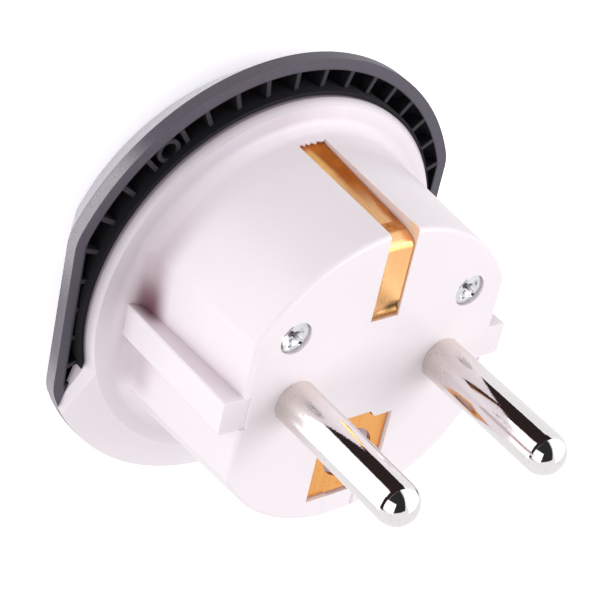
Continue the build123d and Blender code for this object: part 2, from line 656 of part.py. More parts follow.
# Contact carrier: a plate on the socket face with towers round the contacts
with BuildPart() as contact_carrier:
    tower_x = CONTACT_GRIP + 2 * (CONTACT_FLARE + CONTACT_THICKNESS + CARRIER_GAP)
    tower_y = NEUTRAL_SLOT + 2 * CARRIER_GAP
    earth_tower = sleeve_outer + CARRIER_GAP
    with BuildSketch(Plane.XY.offset(FACE_PLATE)):
        Circle(CARRIER_RADIUS)
        with Locations(*SCREW_SPOTS):
            Circle(POST_RADIUS + CLEARANCE, mode=Mode.SUBTRACT)
    extrude(amount=CARRIER_PLATE)
    with BuildSketch(Plane.XY.offset(CARRIER_Z)):
        with Locations((-BLADE_X, BLADE_Y), (BLADE_X, BLADE_Y)):
            Rectangle(tower_x + 2 * CARRIER_WALL, tower_y + 2 * CARRIER_WALL)
            Rectangle(tower_x, tower_y, mode=Mode.SUBTRACT)
    extrude(amount=TOWER_HEIGHT)
    with BuildSketch(Plane.XY.offset(CARRIER_Z)):
        with Locations((0, SOCKET_EARTH_Y)):
            Circle(earth_tower + CARRIER_WALL)
        Rectangle(2 * CARRIER_WALL, SUPPORT_LENGTH)
        with Locations((0, SOCKET_EARTH_Y)):
            Circle(earth_tower, mode=Mode.SUBTRACT)
    extrude(amount=STRAP_Z - CARRIER_Z)
    with BuildSketch(Plane.XY.offset(FACE_PLATE)):
        with Locations((-BLADE_X, BLADE_Y), (BLADE_X, BLADE_Y)):
            Rectangle(SLOT_WIDTH, NEUTRAL_SLOT)
        with Locations((0, SOCKET_EARTH_Y)):
            Circle(EARTH_SLEEVE_BORE)
    extrude(amount=CARRIER_PLATE, mode=Mode.SUBTRACT)
contact_carrier.part.label = "contact_carrier"
export_step(contact_carrier.part, "parts/contact_carrier.step")

# Case screws with a cross recess
for screw_name, screw_x in (("case_screw_left", -SCREW_X), ("case_screw_right", SCREW_X)):
    head_z = PLUG_FACE_Z - SCREW_SUNK
    with BuildPart() as case_screw:
        with BuildSketch(Plane((screw_x, SCREW_Y, head_z))):
            Circle(SCREW_HEAD_RADIUS)
        extrude(amount=-SCREW_HEAD_THICKNESS)
        fillet(case_screw.faces().sort_by(Axis.Z)[-1].edges(), SCREW_HEAD_ROUND)
        with BuildSketch(Plane((screw_x, SCREW_Y, head_z - SCREW_HEAD_THICKNESS))):
            Circle(SCREW_SHANK)
        extrude(amount=-SCREW_LENGTH)
        chamfer(case_screw.faces().sort_by(Axis.Z)[0].edges(), SCREW_SHANK / 2)
        with BuildSketch(Plane((screw_x, SCREW_Y, head_z))):
            Rectangle(CROSS_LENGTH, CROSS_WIDTH, rotation=CROSS_TURN)
            Rectangle(CROSS_WIDTH, CROSS_LENGTH, rotation=CROSS_TURN)
        extrude(amount=-CROSS_DEPTH, taper=CROSS_TAPER, mode=Mode.SUBTRACT)
    case_screw.part.label = screw_name
    export_step(case_screw.part, f"parts/{screw_name}.step")
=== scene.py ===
import bmesh
import bpy
import numpy as np
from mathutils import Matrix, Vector


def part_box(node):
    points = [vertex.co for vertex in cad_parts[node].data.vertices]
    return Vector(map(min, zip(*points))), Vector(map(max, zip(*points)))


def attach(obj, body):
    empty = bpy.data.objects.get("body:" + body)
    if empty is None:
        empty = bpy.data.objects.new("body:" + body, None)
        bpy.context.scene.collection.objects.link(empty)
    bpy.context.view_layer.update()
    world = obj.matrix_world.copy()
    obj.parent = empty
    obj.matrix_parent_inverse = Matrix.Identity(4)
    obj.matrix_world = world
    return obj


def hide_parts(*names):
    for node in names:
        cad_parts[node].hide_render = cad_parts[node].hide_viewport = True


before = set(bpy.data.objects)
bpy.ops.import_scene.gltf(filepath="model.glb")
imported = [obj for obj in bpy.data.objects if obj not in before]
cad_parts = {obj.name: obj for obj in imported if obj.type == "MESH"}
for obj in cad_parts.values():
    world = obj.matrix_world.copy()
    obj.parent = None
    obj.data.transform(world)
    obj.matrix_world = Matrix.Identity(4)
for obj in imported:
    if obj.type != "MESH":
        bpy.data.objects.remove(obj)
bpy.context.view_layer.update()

# The visual model of a travel plug adapter: a white round-pin plug body in a dark grey ribbed
# shell. It stands on its socket face, pins up, with +Y towards the long earth clip.
# Lengths are in metres, as in the CAD frame, and in mm where a heading says so.

MM = 0.001

# Camera, at the photograph's viewing angle
CAMERA_PLACE = (-0.1332085, 0.1316227, 0.1541839)
CAMERA_TURN = (0.89473314, -0.30982559, -0.32158208, -0.00675880)
CAMERA_LENS = 134.0375


class Sock:
    """A shader socket whose arithmetic adds Math nodes to the tree it belongs to."""

    def __init__(self, tree, socket):
        self.tree = tree
        self.socket = socket

    def math(self, operation, *others, clamp=False):
        node = self.tree.nodes.new("ShaderNodeMath")
        node.operation = operation
        node.use_clamp = clamp
        for place, value in zip(node.inputs, (self, *others)):
            feed(self.tree, place, value)
        return Sock(self.tree, node.outputs[0])

    def __add__(self, other):
        return self.math("ADD", other)

    def __sub__(self, other):
        return self.math("SUBTRACT", other)

    def __rsub__(self, other):
        return (self * -1) + other

    def __mul__(self, other):
        return self.math("MULTIPLY", other)

    def __rmul__(self, other):
        return self.math("MULTIPLY", other)

    def __truediv__(self, other):
        return self.math("DIVIDE", other)

    def clamp(self):
        return self.math("ADD", 0.0, clamp=True)

    def abs(self):
        return self.math("ABSOLUTE")

    def power(self, exponent):
        return self.math("POWER", exponent)

    def most(self, other):
        return self.math("MAXIMUM", other)

    def step(self, low, high):
        """Rises smoothly from 0 at low to 1 at high, or falls where low is the greater."""
        span = ((self - low) / (high - low)).clamp()
        return span * span * (3.0 - 2.0 * span)


def feed(tree, place, value):
    """Links a socket to an input, or sets the input's own value."""
    if isinstance(value, Sock):
        tree.links.new(value.socket, place)
    else:
        place.default_value = value


class Finish:
    """A material under construction: one node tree, its surface shader and its coordinates."""

    def __init__(self, name):
        self.material = bpy.data.materials.new(name)
        self.material.use_nodes = True
        self.tree = self.material.node_tree
        self.tree.nodes.clear()
        self.output = self.tree.nodes.new("ShaderNodeOutputMaterial")
        self.shader = self.tree.nodes.new("ShaderNodeBsdfPrincipled")
        self.tree.links.new(self.shader.outputs[0], self.output.inputs[0])
        self.place = self.node("ShaderNodeTexCoord", out="Object")
        split = self.tree.nodes.new("ShaderNodeSeparateXYZ")
        feed(self.tree, split.inputs[0], self.place)
        self.x, self.y, self.z = (Sock(self.tree, socket) for socket in split.outputs)

    def node(self, kind, settings=None, inputs=None, out=0):
        """Any node: its settings first, then the values or links of its sockets."""
        made = self.tree.nodes.new(kind)
        for name, value in (settings or {}).items():
            setattr(made, name, value)
        for name, value in (inputs or {}).items():
            feed(self.tree, made.inputs[name], value)
        return Sock(self.tree, made.outputs[out])

    def noise(self, scale, detail=2.0, roughness=0.5, place=None):
        """Noise texture over the object, scale in cells a metre."""
        return self.node(
            "ShaderNodeTexNoise",
            inputs={
                "Vector": place or self.place,
                "Scale": scale,
                "Detail": detail,
                "Roughness": roughness,
            },
        )

    def stretch(self, x, y, z):
        """Object coordinates multiplied by three factors."""
        return self.node(
            "ShaderNodeVectorMath",
            {"operation": "MULTIPLY"},
            {0: self.place, 1: (x, y, z)},
        )

    def reach(self):
        """Distance from the Z axis."""
        return (self.x * self.x + self.y * self.y).power(0.5)

    def mix(self, factor, first, second):
        """Colour mix, from first where factor is 0 to second where it is 1."""
        made = self.tree.nodes.new("ShaderNodeMix")
        made.data_type = "RGBA"
        feed(self.tree, made.inputs[0], factor)
        for place, value in ((made.inputs[6], first), (made.inputs[7], second)):
            feed(self.tree, place, value if isinstance(value, Sock) else (*value, 1.0))
        return Sock(self.tree, made.outputs[2])

    def bump(self, height, strength, distance):
        """Bump from a height in 0 to 1, distance in metres."""
        return self.node(
            "ShaderNodeBump",
            inputs={"Height": height, "Strength": strength, "Distance": distance},
        )

    def set(self, **values):
        """Sets the surface shader's inputs by name, spaces written as underscores."""
        for name, value in values.items():
            feed(self.tree, self.shader.inputs[name.replace("_", " ")], value)
        return self.material


# White moulding. Every pair of places below is a mask's bounds in metres: the mask rises softly
# from the first to the second, along the axis or distance that its name starts with.
# Painted shade in hollows: ambient occlusion darkens the colour below the plug face
HOLLOW_DISTANCE = 0.006
HOLLOW_OPEN, HOLLOW_SHUT = 0.92, 0.30
Z_UNDER_FACE = (0.0262, 0.0255)
Y_CHANNEL_RUN = (0.0150, 0.0155)
X_CHANNEL_RUN = (0.0023, 0.0019)
# Painted shade on the flange's lower edge, next to the gap to the shell
Z_BRIM = (0.0084, 0.0072)
REACH_BRIM = (0.0211, 0.0217)
Y_BRIM = (-0.0065, -0.0045)
# Painted shadow at the root of the barrel at its left, darkest beside the guide rib and fainter in a
# band lower down
ROOT_X = 0.0166
ROOT_REACH = 0.01845
FOOT_OUTSIDE = (0.0017, 0.0001)
FOOT_INSIDE = (-0.0013, -0.0003)
Z_ROOT = (0.0135, 0.0106)
Y_ROOT_FAR = (0.0185, 0.0040)
Y_ROOT_NEAR = (-0.0095, -0.0065)
Y_ROOT_LOWER = (-0.0035, 0.0010)
RIB_SIDE = 0.0026
RIB_SHADOW = (0.0040, 0.0002)
LOWER_SHADOW_Y = 0.0058
LOWER_SHADOW_SPREAD = (0.0030, 0.0006)
# Painted warm reflection of the brass on the side and inner end walls of the upper channel
CHANNEL_SIDE = 0.00175
CHANNEL_END = 0.00755
CHANNEL_SKIN = (0.00010, 0.00005)
X_CHANNEL = (0.0019, 0.0018)
Y_CHANNEL = (0.0074, 0.0075)
Z_CHANNEL_TOP = (0.02647, 0.02640)
Z_CHANNEL_FOOT = (0.0103, 0.0105)
Z_CHANNEL_REFLECTION = (0.0242, 0.0256)
# Shade over the flange's upper left
Z_SHADE = (0.0097, 0.0091)
REACH_SHADE = (0.0188, 0.0202)
SHADE_SLOPE = 0.6
SLOPE_SHADE = (0.0060, 0.0180)
X_SHADE = (0.0060, -0.0040)


def white_plastic():
    """Semi-gloss white moulding with a faint pink tint, a soft cloudiness and a fine satin grain."""
    finish = Finish("white_plastic")
    x, y, z = finish.x, finish.y, finish.z
    reach = finish.reach()
    cloud = finish.noise(90.0, 3.0)
    grain = finish.noise(5200.0, 2.0, 0.6)
    # Painted shade in hollows, from ambient occlusion
    hollow = finish.node(
        "ShaderNodeAmbientOcclusion", {"samples": 8}, {"Distance": HOLLOW_DISTANCE}, out="AO"
    ).step(HOLLOW_OPEN, HOLLOW_SHUT)
    channel_run = y.step(*Y_CHANNEL_RUN) * x.abs().step(*X_CHANNEL_RUN)
    hollow = hollow * (z.step(*Z_UNDER_FACE) * (1.0 - channel_run))

    foot = (x * -1.0 - ROOT_X).most(reach - ROOT_REACH)
    root = foot.step(*FOOT_OUTSIDE) * foot.step(*FOOT_INSIDE) * z.step(*Z_ROOT)
    root = root * y.step(*Y_ROOT_FAR) * y.step(*Y_ROOT_NEAR)
    root = root * (y.step(*Y_ROOT_LOWER) * 0.62 + 0.38)
    near_rib = (y - RIB_SIDE).abs().step(*RIB_SHADOW)
    near_rib = near_rib.most((y + LOWER_SHADOW_Y).abs().step(*LOWER_SHADOW_SPREAD) * 0.5)

    # Painted reflection of the brass on the channel walls, stronger near the plug face
    channel_reflection = (x.abs() - CHANNEL_SIDE).abs().step(*CHANNEL_SKIN)
    channel_reflection = channel_reflection.most((y - CHANNEL_END).abs().step(*CHANNEL_SKIN)) * x.abs().step(*X_CHANNEL)
    channel_reflection = channel_reflection * y.step(*Y_CHANNEL) * z.step(*Z_CHANNEL_TOP) * z.step(*Z_CHANNEL_FOOT)
    channel_reflection = channel_reflection * (z.step(*Z_CHANNEL_REFLECTION) * 0.62 + 0.18)

    shade = z.step(*Z_SHADE) * reach.step(*REACH_SHADE)
    shade = shade * (y - x * SHADE_SLOPE).step(*SLOPE_SHADE) * x.step(*X_SHADE)
    # Painted shade along the flange's lower edge
    brim_shade = z.step(*Z_BRIM) * reach.step(*REACH_BRIM) * y.step(*Y_BRIM)

    colour = finish.mix(cloud, (0.88, 0.80, 0.85), (0.92, 0.85, 0.89))
    colour = finish.mix(hollow * 0.45, colour, (0.50, 0.36, 0.42))
    colour = finish.mix(root * (near_rib * 0.42 + 0.52), colour, (0.16, 0.050, 0.078))
    colour = finish.mix(channel_reflection, colour, (0.95, 0.62, 0.38))
    colour = finish.mix(shade * 0.55, colour, (0.52, 0.46, 0.52))
    colour = finish.mix(brim_shade * 0.85, colour, (0.16, 0.12, 0.14))
    return finish.set(
        Base_Color=colour,
        Roughness=grain * 0.08 + 0.30,
        Normal=finish.bump(grain, 0.12, 0.00003),
        Subsurface_Weight=0.10,
        Subsurface_Scale=0.0012,
        Subsurface_Radius=(1.0, 0.65, 0.75),
    )


# Grey shell
SIDE_FOOT = 0.0050
TAPER_SLOPE = 0.824
Z_TAPER = (SIDE_FOOT, SIDE_FOOT - 0.0003)
Z_SIDE_FOOT = (SIDE_FOOT - 0.0001, SIDE_FOOT + 0.0001)
Z_SIDE_TOP = (0.0065, 0.0064)
REACH_SKIN = (0.0256, 0.0254)
X_SKIN = (0.0239, 0.0237)
# Painted shade in the cells, darker from the rim down, and on the ring wall
Z_CELL = (0.0071, 0.0062)
REACH_CELL = (0.0247, 0.0244)
X_CELL = (0.0231, 0.0228)
REACH_WALL = (0.0228, 0.0226)
Z_FLOOR = (0.0015, 0.0020)
# Painted sheen: light bands on the left side
Y_SHEEN_UPPER = (0.0010, 0.0095)
Y_SHEEN_LOWER = (-0.0040, -0.0085)
X_SHEEN = (-0.0165, -0.0205)
REACH_SHEEN = (0.0238, 0.0240)


def grey_plastic():
    """Dark purple-grey satin moulding with a fine grain, with painted shade down in the open cells.

    The cells are the space inside the rim's inner edge and below the rim. The straight side has a
    painted sheen, light at the left, and the taper below it is painted a pale lavender and made
    glossier.
    """
    finish = Finish("grey_plastic")
    x, y, z = finish.x, finish.y, finish.z
    reach = finish.reach()
    grain = finish.noise(6500.0, 2.0, 0.6)
    speck = finish.noise(2600.0, 3.0, 0.7).step(0.60, 0.78)
    lean = (SIDE_FOOT - z).most(0.0) * TAPER_SLOPE
    inside = (reach + lean).step(*REACH_SKIN) * (x.abs() + lean).step(*X_SKIN)
    # Painted shade down in the cells and on the ring wall
    depth = z.step(*Z_CELL) * reach.step(*REACH_CELL) * x.abs().step(*X_CELL)
    depth = depth.most(reach.step(*REACH_WALL)).clamp() * inside * z.step(*Z_FLOOR)
    taper = z.step(*Z_TAPER)
    # Painted sheen on the straight side, standing in for its grazing reflection at the left
    reflection_and_tarnish = y.step(*Y_SHEEN_UPPER) * 0.62 + y.step(*Y_SHEEN_LOWER) * 0.50 + 0.28
    reflection_and_tarnish = reflection_and_tarnish * z.step(*Z_SIDE_FOOT) * z.step(*Z_SIDE_TOP)
    reflection_and_tarnish = reflection_and_tarnish * x.step(*X_SHEEN) * reach.step(*REACH_SHEEN)

    colour = finish.mix(grain, (0.060, 0.053, 0.072), (0.110, 0.100, 0.130))
    colour = finish.mix(speck * 0.30, colour, (0.26, 0.24, 0.29))
    colour = finish.mix(reflection_and_tarnish * (grain * 0.9 + 0.30), colour, (0.50, 0.46, 0.50))
    colour = finish.mix(taper * 0.8, colour, (0.46, 0.40, 0.55))
    colour = finish.mix(depth * 0.95, colour, (0.004, 0.003, 0.005))
    return finish.set(
        Base_Color=colour,
        Roughness=(grain * 0.12 + 0.34 + depth * 0.45) * (1.0 - taper * 0.62),
        Specular_IOR_Level=0.35,
        Normal=finish.bump(grain, 0.30, 0.00004),
    )


# Pins: matt from the plug face up to here
Z_PIN_FOOT = (0.0335, 0.0275)
FOOT_SPREAD = 0.004


def nickel():
    """Polished nickel plate with faint drawn lines, matt and a little warm at the pins' foot."""
    finish = Finish("pin_nickel")
    drawn = finish.noise(1500.0, 3.0, 0.6, finish.stretch(1.0, 1.0, 0.04))
    pits = finish.noise(3800.0, 2.0, 0.6).step(0.62, 0.72)
    foot = (finish.z + (drawn - 0.5) * FOOT_SPREAD).step(*Z_PIN_FOOT)
    bright = finish.mix(drawn, (0.78, 0.75, 0.76), (0.84, 0.81, 0.81))
    colour = finish.mix(foot, bright, (0.74, 0.67, 0.64))
    colour = finish.mix(pits * 0.35, colour, (0.30, 0.25, 0.23))
    return finish.set(
        Base_Color=colour,
        Metallic=1.0,
        Roughness=drawn * 0.03 + foot * 0.30 + pits * 0.10 + 0.035,
        Normal=finish.bump(finish.noise(5200.0, 2.0), 0.34, 0.00001),
    )


def drawn_streak(finish):
    """Fine streaks along a strip that runs in the plane x = 0."""
    return finish.noise(2600.0, 3.0, 0.65, finish.stretch(1.0, 0.05, 0.05))


def brass(name, deep, bright, roughness):
    """Rolled brass with drawn streaks along the strip and small brown spots."""
    finish = Finish(name)
    streak = drawn_streak(finish)
    spots = finish.noise(1400.0, 3.0, 0.6).step(0.62, 0.75)
    colour = finish.mix(streak, deep, bright)
    colour = finish.mix(spots * 0.6, colour, (0.30, 0.12, 0.03))
    return finish.set(
        Base_Color=colour,
        Metallic=1.0,
        Roughness=streak * 0.12 + spots * 0.15 + roughness,
    )


# Upper clip: its run down the plug's side, and the places where it is brown, partly tarnish and
# partly painted reflection, where it has a painted gold highlight and where it is painted dark
Y_RUN = (0.0160, 0.0166)
EDGE_SPREAD = 0.0008
RIGHT_SLOPE = 0.07
SLOPE_RIGHT = (-0.0021, -0.0010)
Z_RIGHT = (0.0225, 0.0165)
X_EDGE = (0.0004, 0.0012)
Z_EDGE = (0.0262, 0.0235)
Z_TOP = (0.0125, 0.0105)
Z_PATCH_FOOT = (0.0233, 0.0236)
Z_PATCH_TOP = (0.0250, 0.0247)
Y_LINE_START = (0.0158, 0.0160)
Y_LINE_STOP = (0.0163, 0.0161)
Z_LINE = (0.0255, 0.0260)
X_GOLD_RIGHT = (-0.0002, -0.0009)
X_GOLD_LEFT = (-0.0018, -0.0012)
Z_GOLD_FOOT = (0.0185, 0.0130)
Z_GOLD_TOP = (0.0108, 0.0118)
Y_FOLD = (0.0084, 0.0080)
DISH_Y = 0.00865
DISH_SPREAD = (0.0009, 0.0002)
X_DISH = (-0.0007, 0.0007)
Z_RUN = (0.0258, 0.0250)


def tarnish_and_reflection_brass():
    """Brass of the upper clip: peach where it is bare, with a painted gold highlight, and brown that
    is partly tarnish and partly painted dark reflection.

    Brown lies along the right side of the upper run, in a hatched patch above the bend and in a thin
    line below it. The dish at the strip's inner end is painted dark brown as a reflection, and the
    fold there is painted with shade.
    """
    finish = Finish("tarnish_and_reflection_brass")
    y, z = finish.y, finish.z
    streak = drawn_streak(finish)
    cloud = finish.noise(420.0, 3.0, 0.6)
    hatch = finish.noise(3200.0, 1.0) * 0.8 + 0.35
    run = y.step(*Y_RUN)
    across = finish.x + (cloud - 0.5) * EDGE_SPREAD
    # Brown on the right of the run, its edge, its top and a hatched patch: partly tarnish, partly
    # painted dark reflection
    right = (across - z * RIGHT_SLOPE).step(*SLOPE_RIGHT) * z.step(*Z_RIGHT)
    edge = across.step(*X_EDGE) * z.step(*Z_EDGE)
    patch = z.step(*Z_PATCH_FOOT) * z.step(*Z_PATCH_TOP) * hatch
    reflection_and_tarnish = (right * 0.95).most(edge * 0.85).most(z.step(*Z_TOP) * 0.85).most(patch) * run
    line = y.step(*Y_LINE_START) * y.step(*Y_LINE_STOP) * 0.6
    dark = reflection_and_tarnish.most(line * z.step(*Z_LINE)).clamp()
    # Painted gold highlight on the left of the upper run
    gold_highlight = across.step(*X_GOLD_RIGHT) * across.step(*X_GOLD_LEFT) * run
    gold_highlight = gold_highlight * z.step(*Z_GOLD_FOOT) * z.step(*Z_GOLD_TOP)
    # Painted shade over the fold at the strip's inner end
    fold = y.step(*Y_FOLD) * 0.85
    # Painted dark reflection in the dish
    dish = (y - DISH_Y).abs().step(*DISH_SPREAD) * (across.step(*X_DISH) * 0.88 + 0.05)

    colour = finish.mix(streak, (0.88, 0.46, 0.19), (0.97, 0.56, 0.26))
    colour = finish.mix(run, colour, (0.98, 0.56, 0.27))
    brown = finish.mix(cloud.step(0.35, 0.62), (0.43, 0.095, 0.006), (0.57, 0.150, 0.012))
    colour = finish.mix(dark, colour, brown)
    colour = finish.mix(gold_highlight * 0.85, colour, (1.0, 0.57, 0.18))
    colour = finish.mix(fold, colour, (0.52, 0.24, 0.055))
    colour = finish.mix(dish.clamp(), colour, (0.13, 0.075, 0.020))
    return finish.set(
        Base_Color=colour,
        Metallic=1.0 - run * z.step(*Z_RUN) * 0.55,
        Roughness=streak * 0.10 + dark * 0.12 + 0.22,
        Specular_IOR_Level=0.0,
        Normal=finish.bump(cloud, 0.15, 0.00003),
    )


# Screws: the recess is dark below this
Z_PIT = (0.02605, 0.02575)


def steel():
    """Zinc-plated steel with small dents that break its reflections, dark down in the recess."""
    finish = Finish("screw_steel")
    dents = finish.noise(1500.0, 2.0)
    colour = finish.mix(dents, (0.62, 0.62, 0.64), (0.82, 0.82, 0.83))
    return finish.set(
        Base_Color=finish.mix(finish.z.step(*Z_PIT) * 0.85, colour, (0.09, 0.07, 0.085)),
        Metallic=1.0,
        Roughness=dents * 0.10 + 0.12,
        Normal=finish.bump(dents, 0.22, 0.00006),
    )


def carrier_plastic():
    """Matt natural-white inner moulding."""
    finish = Finish("carrier_plastic")
    grain = finish.noise(3000.0)
    return finish.set(
        Base_Color=finish.mix(grain, (0.60, 0.60, 0.58), (0.68, 0.68, 0.66)),
        Roughness=grain * 0.1 + 0.5,
    )


contact_brass = brass("contact_brass", (0.62, 0.34, 0.10), (0.80, 0.47, 0.17), 0.22)
clip_brass = brass("clip_brass", (0.74, 0.32, 0.08), (0.93, 0.46, 0.15), 0.20)
white = white_plastic()
pin_metal = nickel()
screw_metal = steel()
finishes = {
    "front_shell": grey_plastic(),
    "plug_body": white,
    "contact_carrier": carrier_plastic(),
    "pin_left": pin_metal,
    "pin_right": pin_metal,
    "line_contact": contact_brass,
    "neutral_contact": contact_brass,
    "earth_clip_upper": clip_brass,
    "earth_clip_lower": clip_brass,
    "earth_pin_sleeve": contact_brass,
    "earth_contact": contact_brass,
    "earth_strap": contact_brass,
    "case_screw_left": screw_metal,
    "case_screw_right": screw_metal,
}
for name, material in finishes.items():
    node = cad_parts[name]
    for place in node.material_slots:
        place.material = material


# Pieces made here, in mm: the upper clip with its worn bend and dish
clip_low, clip_high = (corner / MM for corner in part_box("earth_clip_upper"))
STRIP_THICK = 0.6
STRIP_EDGE = 0.12
STRIP_EDGE_POINTS = 5
STRIP_FLAT_POINTS = 13
# Outer face of the strip as (y, z), from its foot up and inwards, and the inner radii of its bends
CLIP_FOOT = (18.33, 10.22)
CLIP_SHOULDER = (17.0, 24.6)
CLIP_BEND_Y = 16.3
CLIP_END_Z = 22.6
CLIP_PATH = (
    CLIP_FOOT,
    CLIP_SHOULDER,
    (CLIP_BEND_Y, clip_high.z),
    (clip_low.y, clip_high.z),
    (clip_low.y, CLIP_END_Z),
)
CLIP_BENDS = (2.2, 0.9, 0.45)
CLIP_STEP = 0.12
BEND_POINTS = 13
HOLLOW_DEPTH = 0.22
HOLLOW_Y = 8.65
HOLLOW_WIDTH = 0.40
HOLLOW_MIDDLE = 0.52
HOLLOW_LEAN = 0.26
HOLLOW_ABOVE = 26.0
SHARP_ANGLE = 0.6


def rounded_path(points, radii, step):
    """Polyline whose inner corners are arcs, as an array of evenly spaced points.

    Each corner keeps a tangent length of radius * tan(half its turn), and its arc is swept about the
    centre on the corner's bisector.
    """
    points = [np.array(point) for point in points]
    runs = [points[0][None, :]]
    for before, corner, after, radius in zip(points, points[1:], points[2:], radii):
        to_last = (before - corner) / np.linalg.norm(before - corner)
        to_next = (after - corner) / np.linalg.norm(after - corner)
        half = np.arccos(np.clip(to_last @ to_next, -1.0, 1.0)) / 2.0
        bisector = (to_last + to_next) / np.linalg.norm(to_last + to_next)
        centre = corner + bisector * radius / np.sin(half)
        start = corner + to_last * radius / np.tan(half) - centre
        sweep = np.linspace(0.0, np.pi - 2.0 * half, BEND_POINTS)[:, None]
        across = to_last * -1.0
        side = start / radius
        runs.append(centre + radius * (side * np.cos(sweep) + across * np.sin(sweep)))
    runs.append(points[-1][None, :])
    line = np.concatenate(runs)
    length = np.concatenate([[0.0], np.cumsum(np.linalg.norm(np.diff(line, axis=0), axis=1))])
    even = np.arange(0.0, length[-1], step)
    even = np.append(even, length[-1])
    return np.stack([np.interp(even, length, line[:, k]) for k in range(2)], axis=1)


def closed_sweep(name, rings, material):
    """Mesh through closed rings of equal length, shape (rings, points, 3), with both ends capped."""
    count, around = rings.shape[:2]
    low = np.arange(count - 1)[:, None] * around
    here = np.arange(around)[None, :]
    after = (here + 1) % around
    quads = np.stack([low + here, low + after, low + around + after, low + around + here], axis=-1)
    faces = quads.reshape(-1, 4).tolist()
    faces.append(list(range(around))[::-1])
    faces.append(list(range((count - 1) * around, count * around)))
    mesh = bpy.data.meshes.new(name)
    mesh.from_pydata((rings.reshape(-1, 3) * MM).tolist(), [], faces)
    tidy = bmesh.new()
    tidy.from_mesh(mesh)
    bmesh.ops.recalc_face_normals(tidy, faces=tidy.faces)
    tidy.to_mesh(mesh)
    tidy.free()
    mesh.materials.append(material)
    mesh.shade_smooth()
    mesh.set_sharp_from_angle(angle=SHARP_ANGLE)
    piece = bpy.data.objects.new(name, mesh)
    bpy.context.scene.collection.objects.link(piece)
    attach(piece, "root")
    return piece


def worn_clip():
    """Bent brass strip: a rounded section carried along the clip's path in the plane x = 0.

    The section is a rectangle with quarter-round corners. Depth is measured from the outer face
    along the path's inner normal. The hollow lowers both faces alike by a bell curve in the
    distance from HOLLOW_Y, deeper in proportion to the place across, towards the right edge.
    """
    path = rounded_path(CLIP_PATH, CLIP_BENDS, CLIP_STEP)
    along = np.gradient(path, axis=0)
    along /= np.linalg.norm(along, axis=1)[:, None]
    inward = np.stack([-along[:, 1], along[:, 0]], axis=1)
    quarter = np.linspace(0.0, np.pi / 2.0, STRIP_EDGE_POINTS)
    side = clip_high.x - STRIP_EDGE
    top = STRIP_THICK - STRIP_EDGE
    cos, sin = STRIP_EDGE * np.cos(quarter), STRIP_EDGE * np.sin(quarter)
    flat = np.linspace(-side, side, STRIP_FLAT_POINTS + 2)[1:-1]
    across = np.concatenate([side + cos, flat[::-1], -side - sin, -side - cos, flat, side + sin])
    depth = np.concatenate(
        [
            top + sin,
            np.full(STRIP_FLAT_POINTS, STRIP_THICK),
            top + cos,
            STRIP_EDGE - sin,
            np.zeros(STRIP_FLAT_POINTS),
            STRIP_EDGE - cos,
        ]
    )
    y = path[:, 0][:, None]
    z = path[:, 1][:, None]
    bell = HOLLOW_DEPTH * np.exp(-(((y - HOLLOW_Y) / HOLLOW_WIDTH) ** 2))
    hollow = bell * (HOLLOW_MIDDLE + HOLLOW_LEAN * across[None, :])
    sunk = depth[None, :] + np.where(z > HOLLOW_ABOVE, hollow, 0.0)
    rings = np.stack(
        [
            np.broadcast_to(across[None, :], sunk.shape),
            y + sunk * inward[:, 0][:, None],
            z + sunk * inward[:, 1][:, None],
        ],
        axis=-1,
    )
    return closed_sweep("worn_upper_clip", rings, tarnish_and_reflection_brass())


# Torn lip at the upper channel's foot, in mm. Each tooth is its place across, height and reach
LIP_HALF_WIDTH = 1.74
LIP_POINTS = 88
LIP_FOOT = 10.05
LIP_EDGE = 10.28
LIP_FRONT = 18.62
LIP_BACK = 18.40
LIP_CHAMFER = 0.05
LIP_TEETH = (
    (-1.60, 0.34, 0.36),
    (-0.98, 0.42, 0.30),
    (-0.35, 0.38, 0.34),
    (0.40, 0.44, 0.45),
    (1.35, 0.30, 0.60),
)


def torn_lip():
    """Thin white lip at the foot of the upper channel, with an uneven torn edge.

    The edge's height over x is the larger of several triangular teeth, each falling off linearly
    from its own place, with its own height and reach.
    """
    x = np.linspace(-LIP_HALF_WIDTH, LIP_HALF_WIDTH, LIP_POINTS)
    place, height, reach = np.array(LIP_TEETH).T[:, :, None]
    rise = height * (1.0 - np.abs(x[None, :] - place) / reach)
    edge = LIP_EDGE + np.maximum(rise, 0.0).max(axis=0)
    section = (
        (LIP_FRONT, np.full_like(x, LIP_FOOT)),
        (LIP_FRONT, edge - LIP_CHAMFER),
        ((LIP_FRONT + LIP_BACK) / 2.0, edge),
        (LIP_BACK, edge - LIP_CHAMFER),
        (LIP_BACK, np.full_like(x, LIP_FOOT)),
    )
    rings = np.stack([np.stack([x, np.full_like(x, y), z], axis=1) for y, z in section], axis=1)
    return closed_sweep("torn_lip", rings, white)


# Case screws, in mm and degrees
SCREW_PROUD = 0.22
SCREW_CROWN = 0.20
SCREW_TURN = 45.0
SLOT_HALF = 0.36
SLOT_REACH = 1.22
SLOT_NARROWING = 0.10
SLOT_EASE = 0.10
SLOT_END_EASE = 0.16
SLOT_DEPTH = 0.20
SLOT_DEPTH_GAIN = 0.65
PIT_DEPTH = 1.05
PIT_RADIUS = 0.85
NOTCH_START = 1.36
NOTCH_HALF = 0.62
NOTCH_DEPTH = 0.42
NOTCH_RUN = 0.12
SHANK_ROOT = 1.12
SHANK_TIP = 0.6
THREAD_RISE = 0.17
THREAD_PITCH = 1.0
THREAD_STEP = 0.09
HEAD_DROPS = (0.45, 1.3, 1.6)
THREAD_START = 1.7
HEAD_FOOT = 1.65
TIP_START = 15.3
SCREW_END = 15.5
TURN_POINTS = 96
CROWN_RINGS = 44
CROWN_HOLE = 0.01


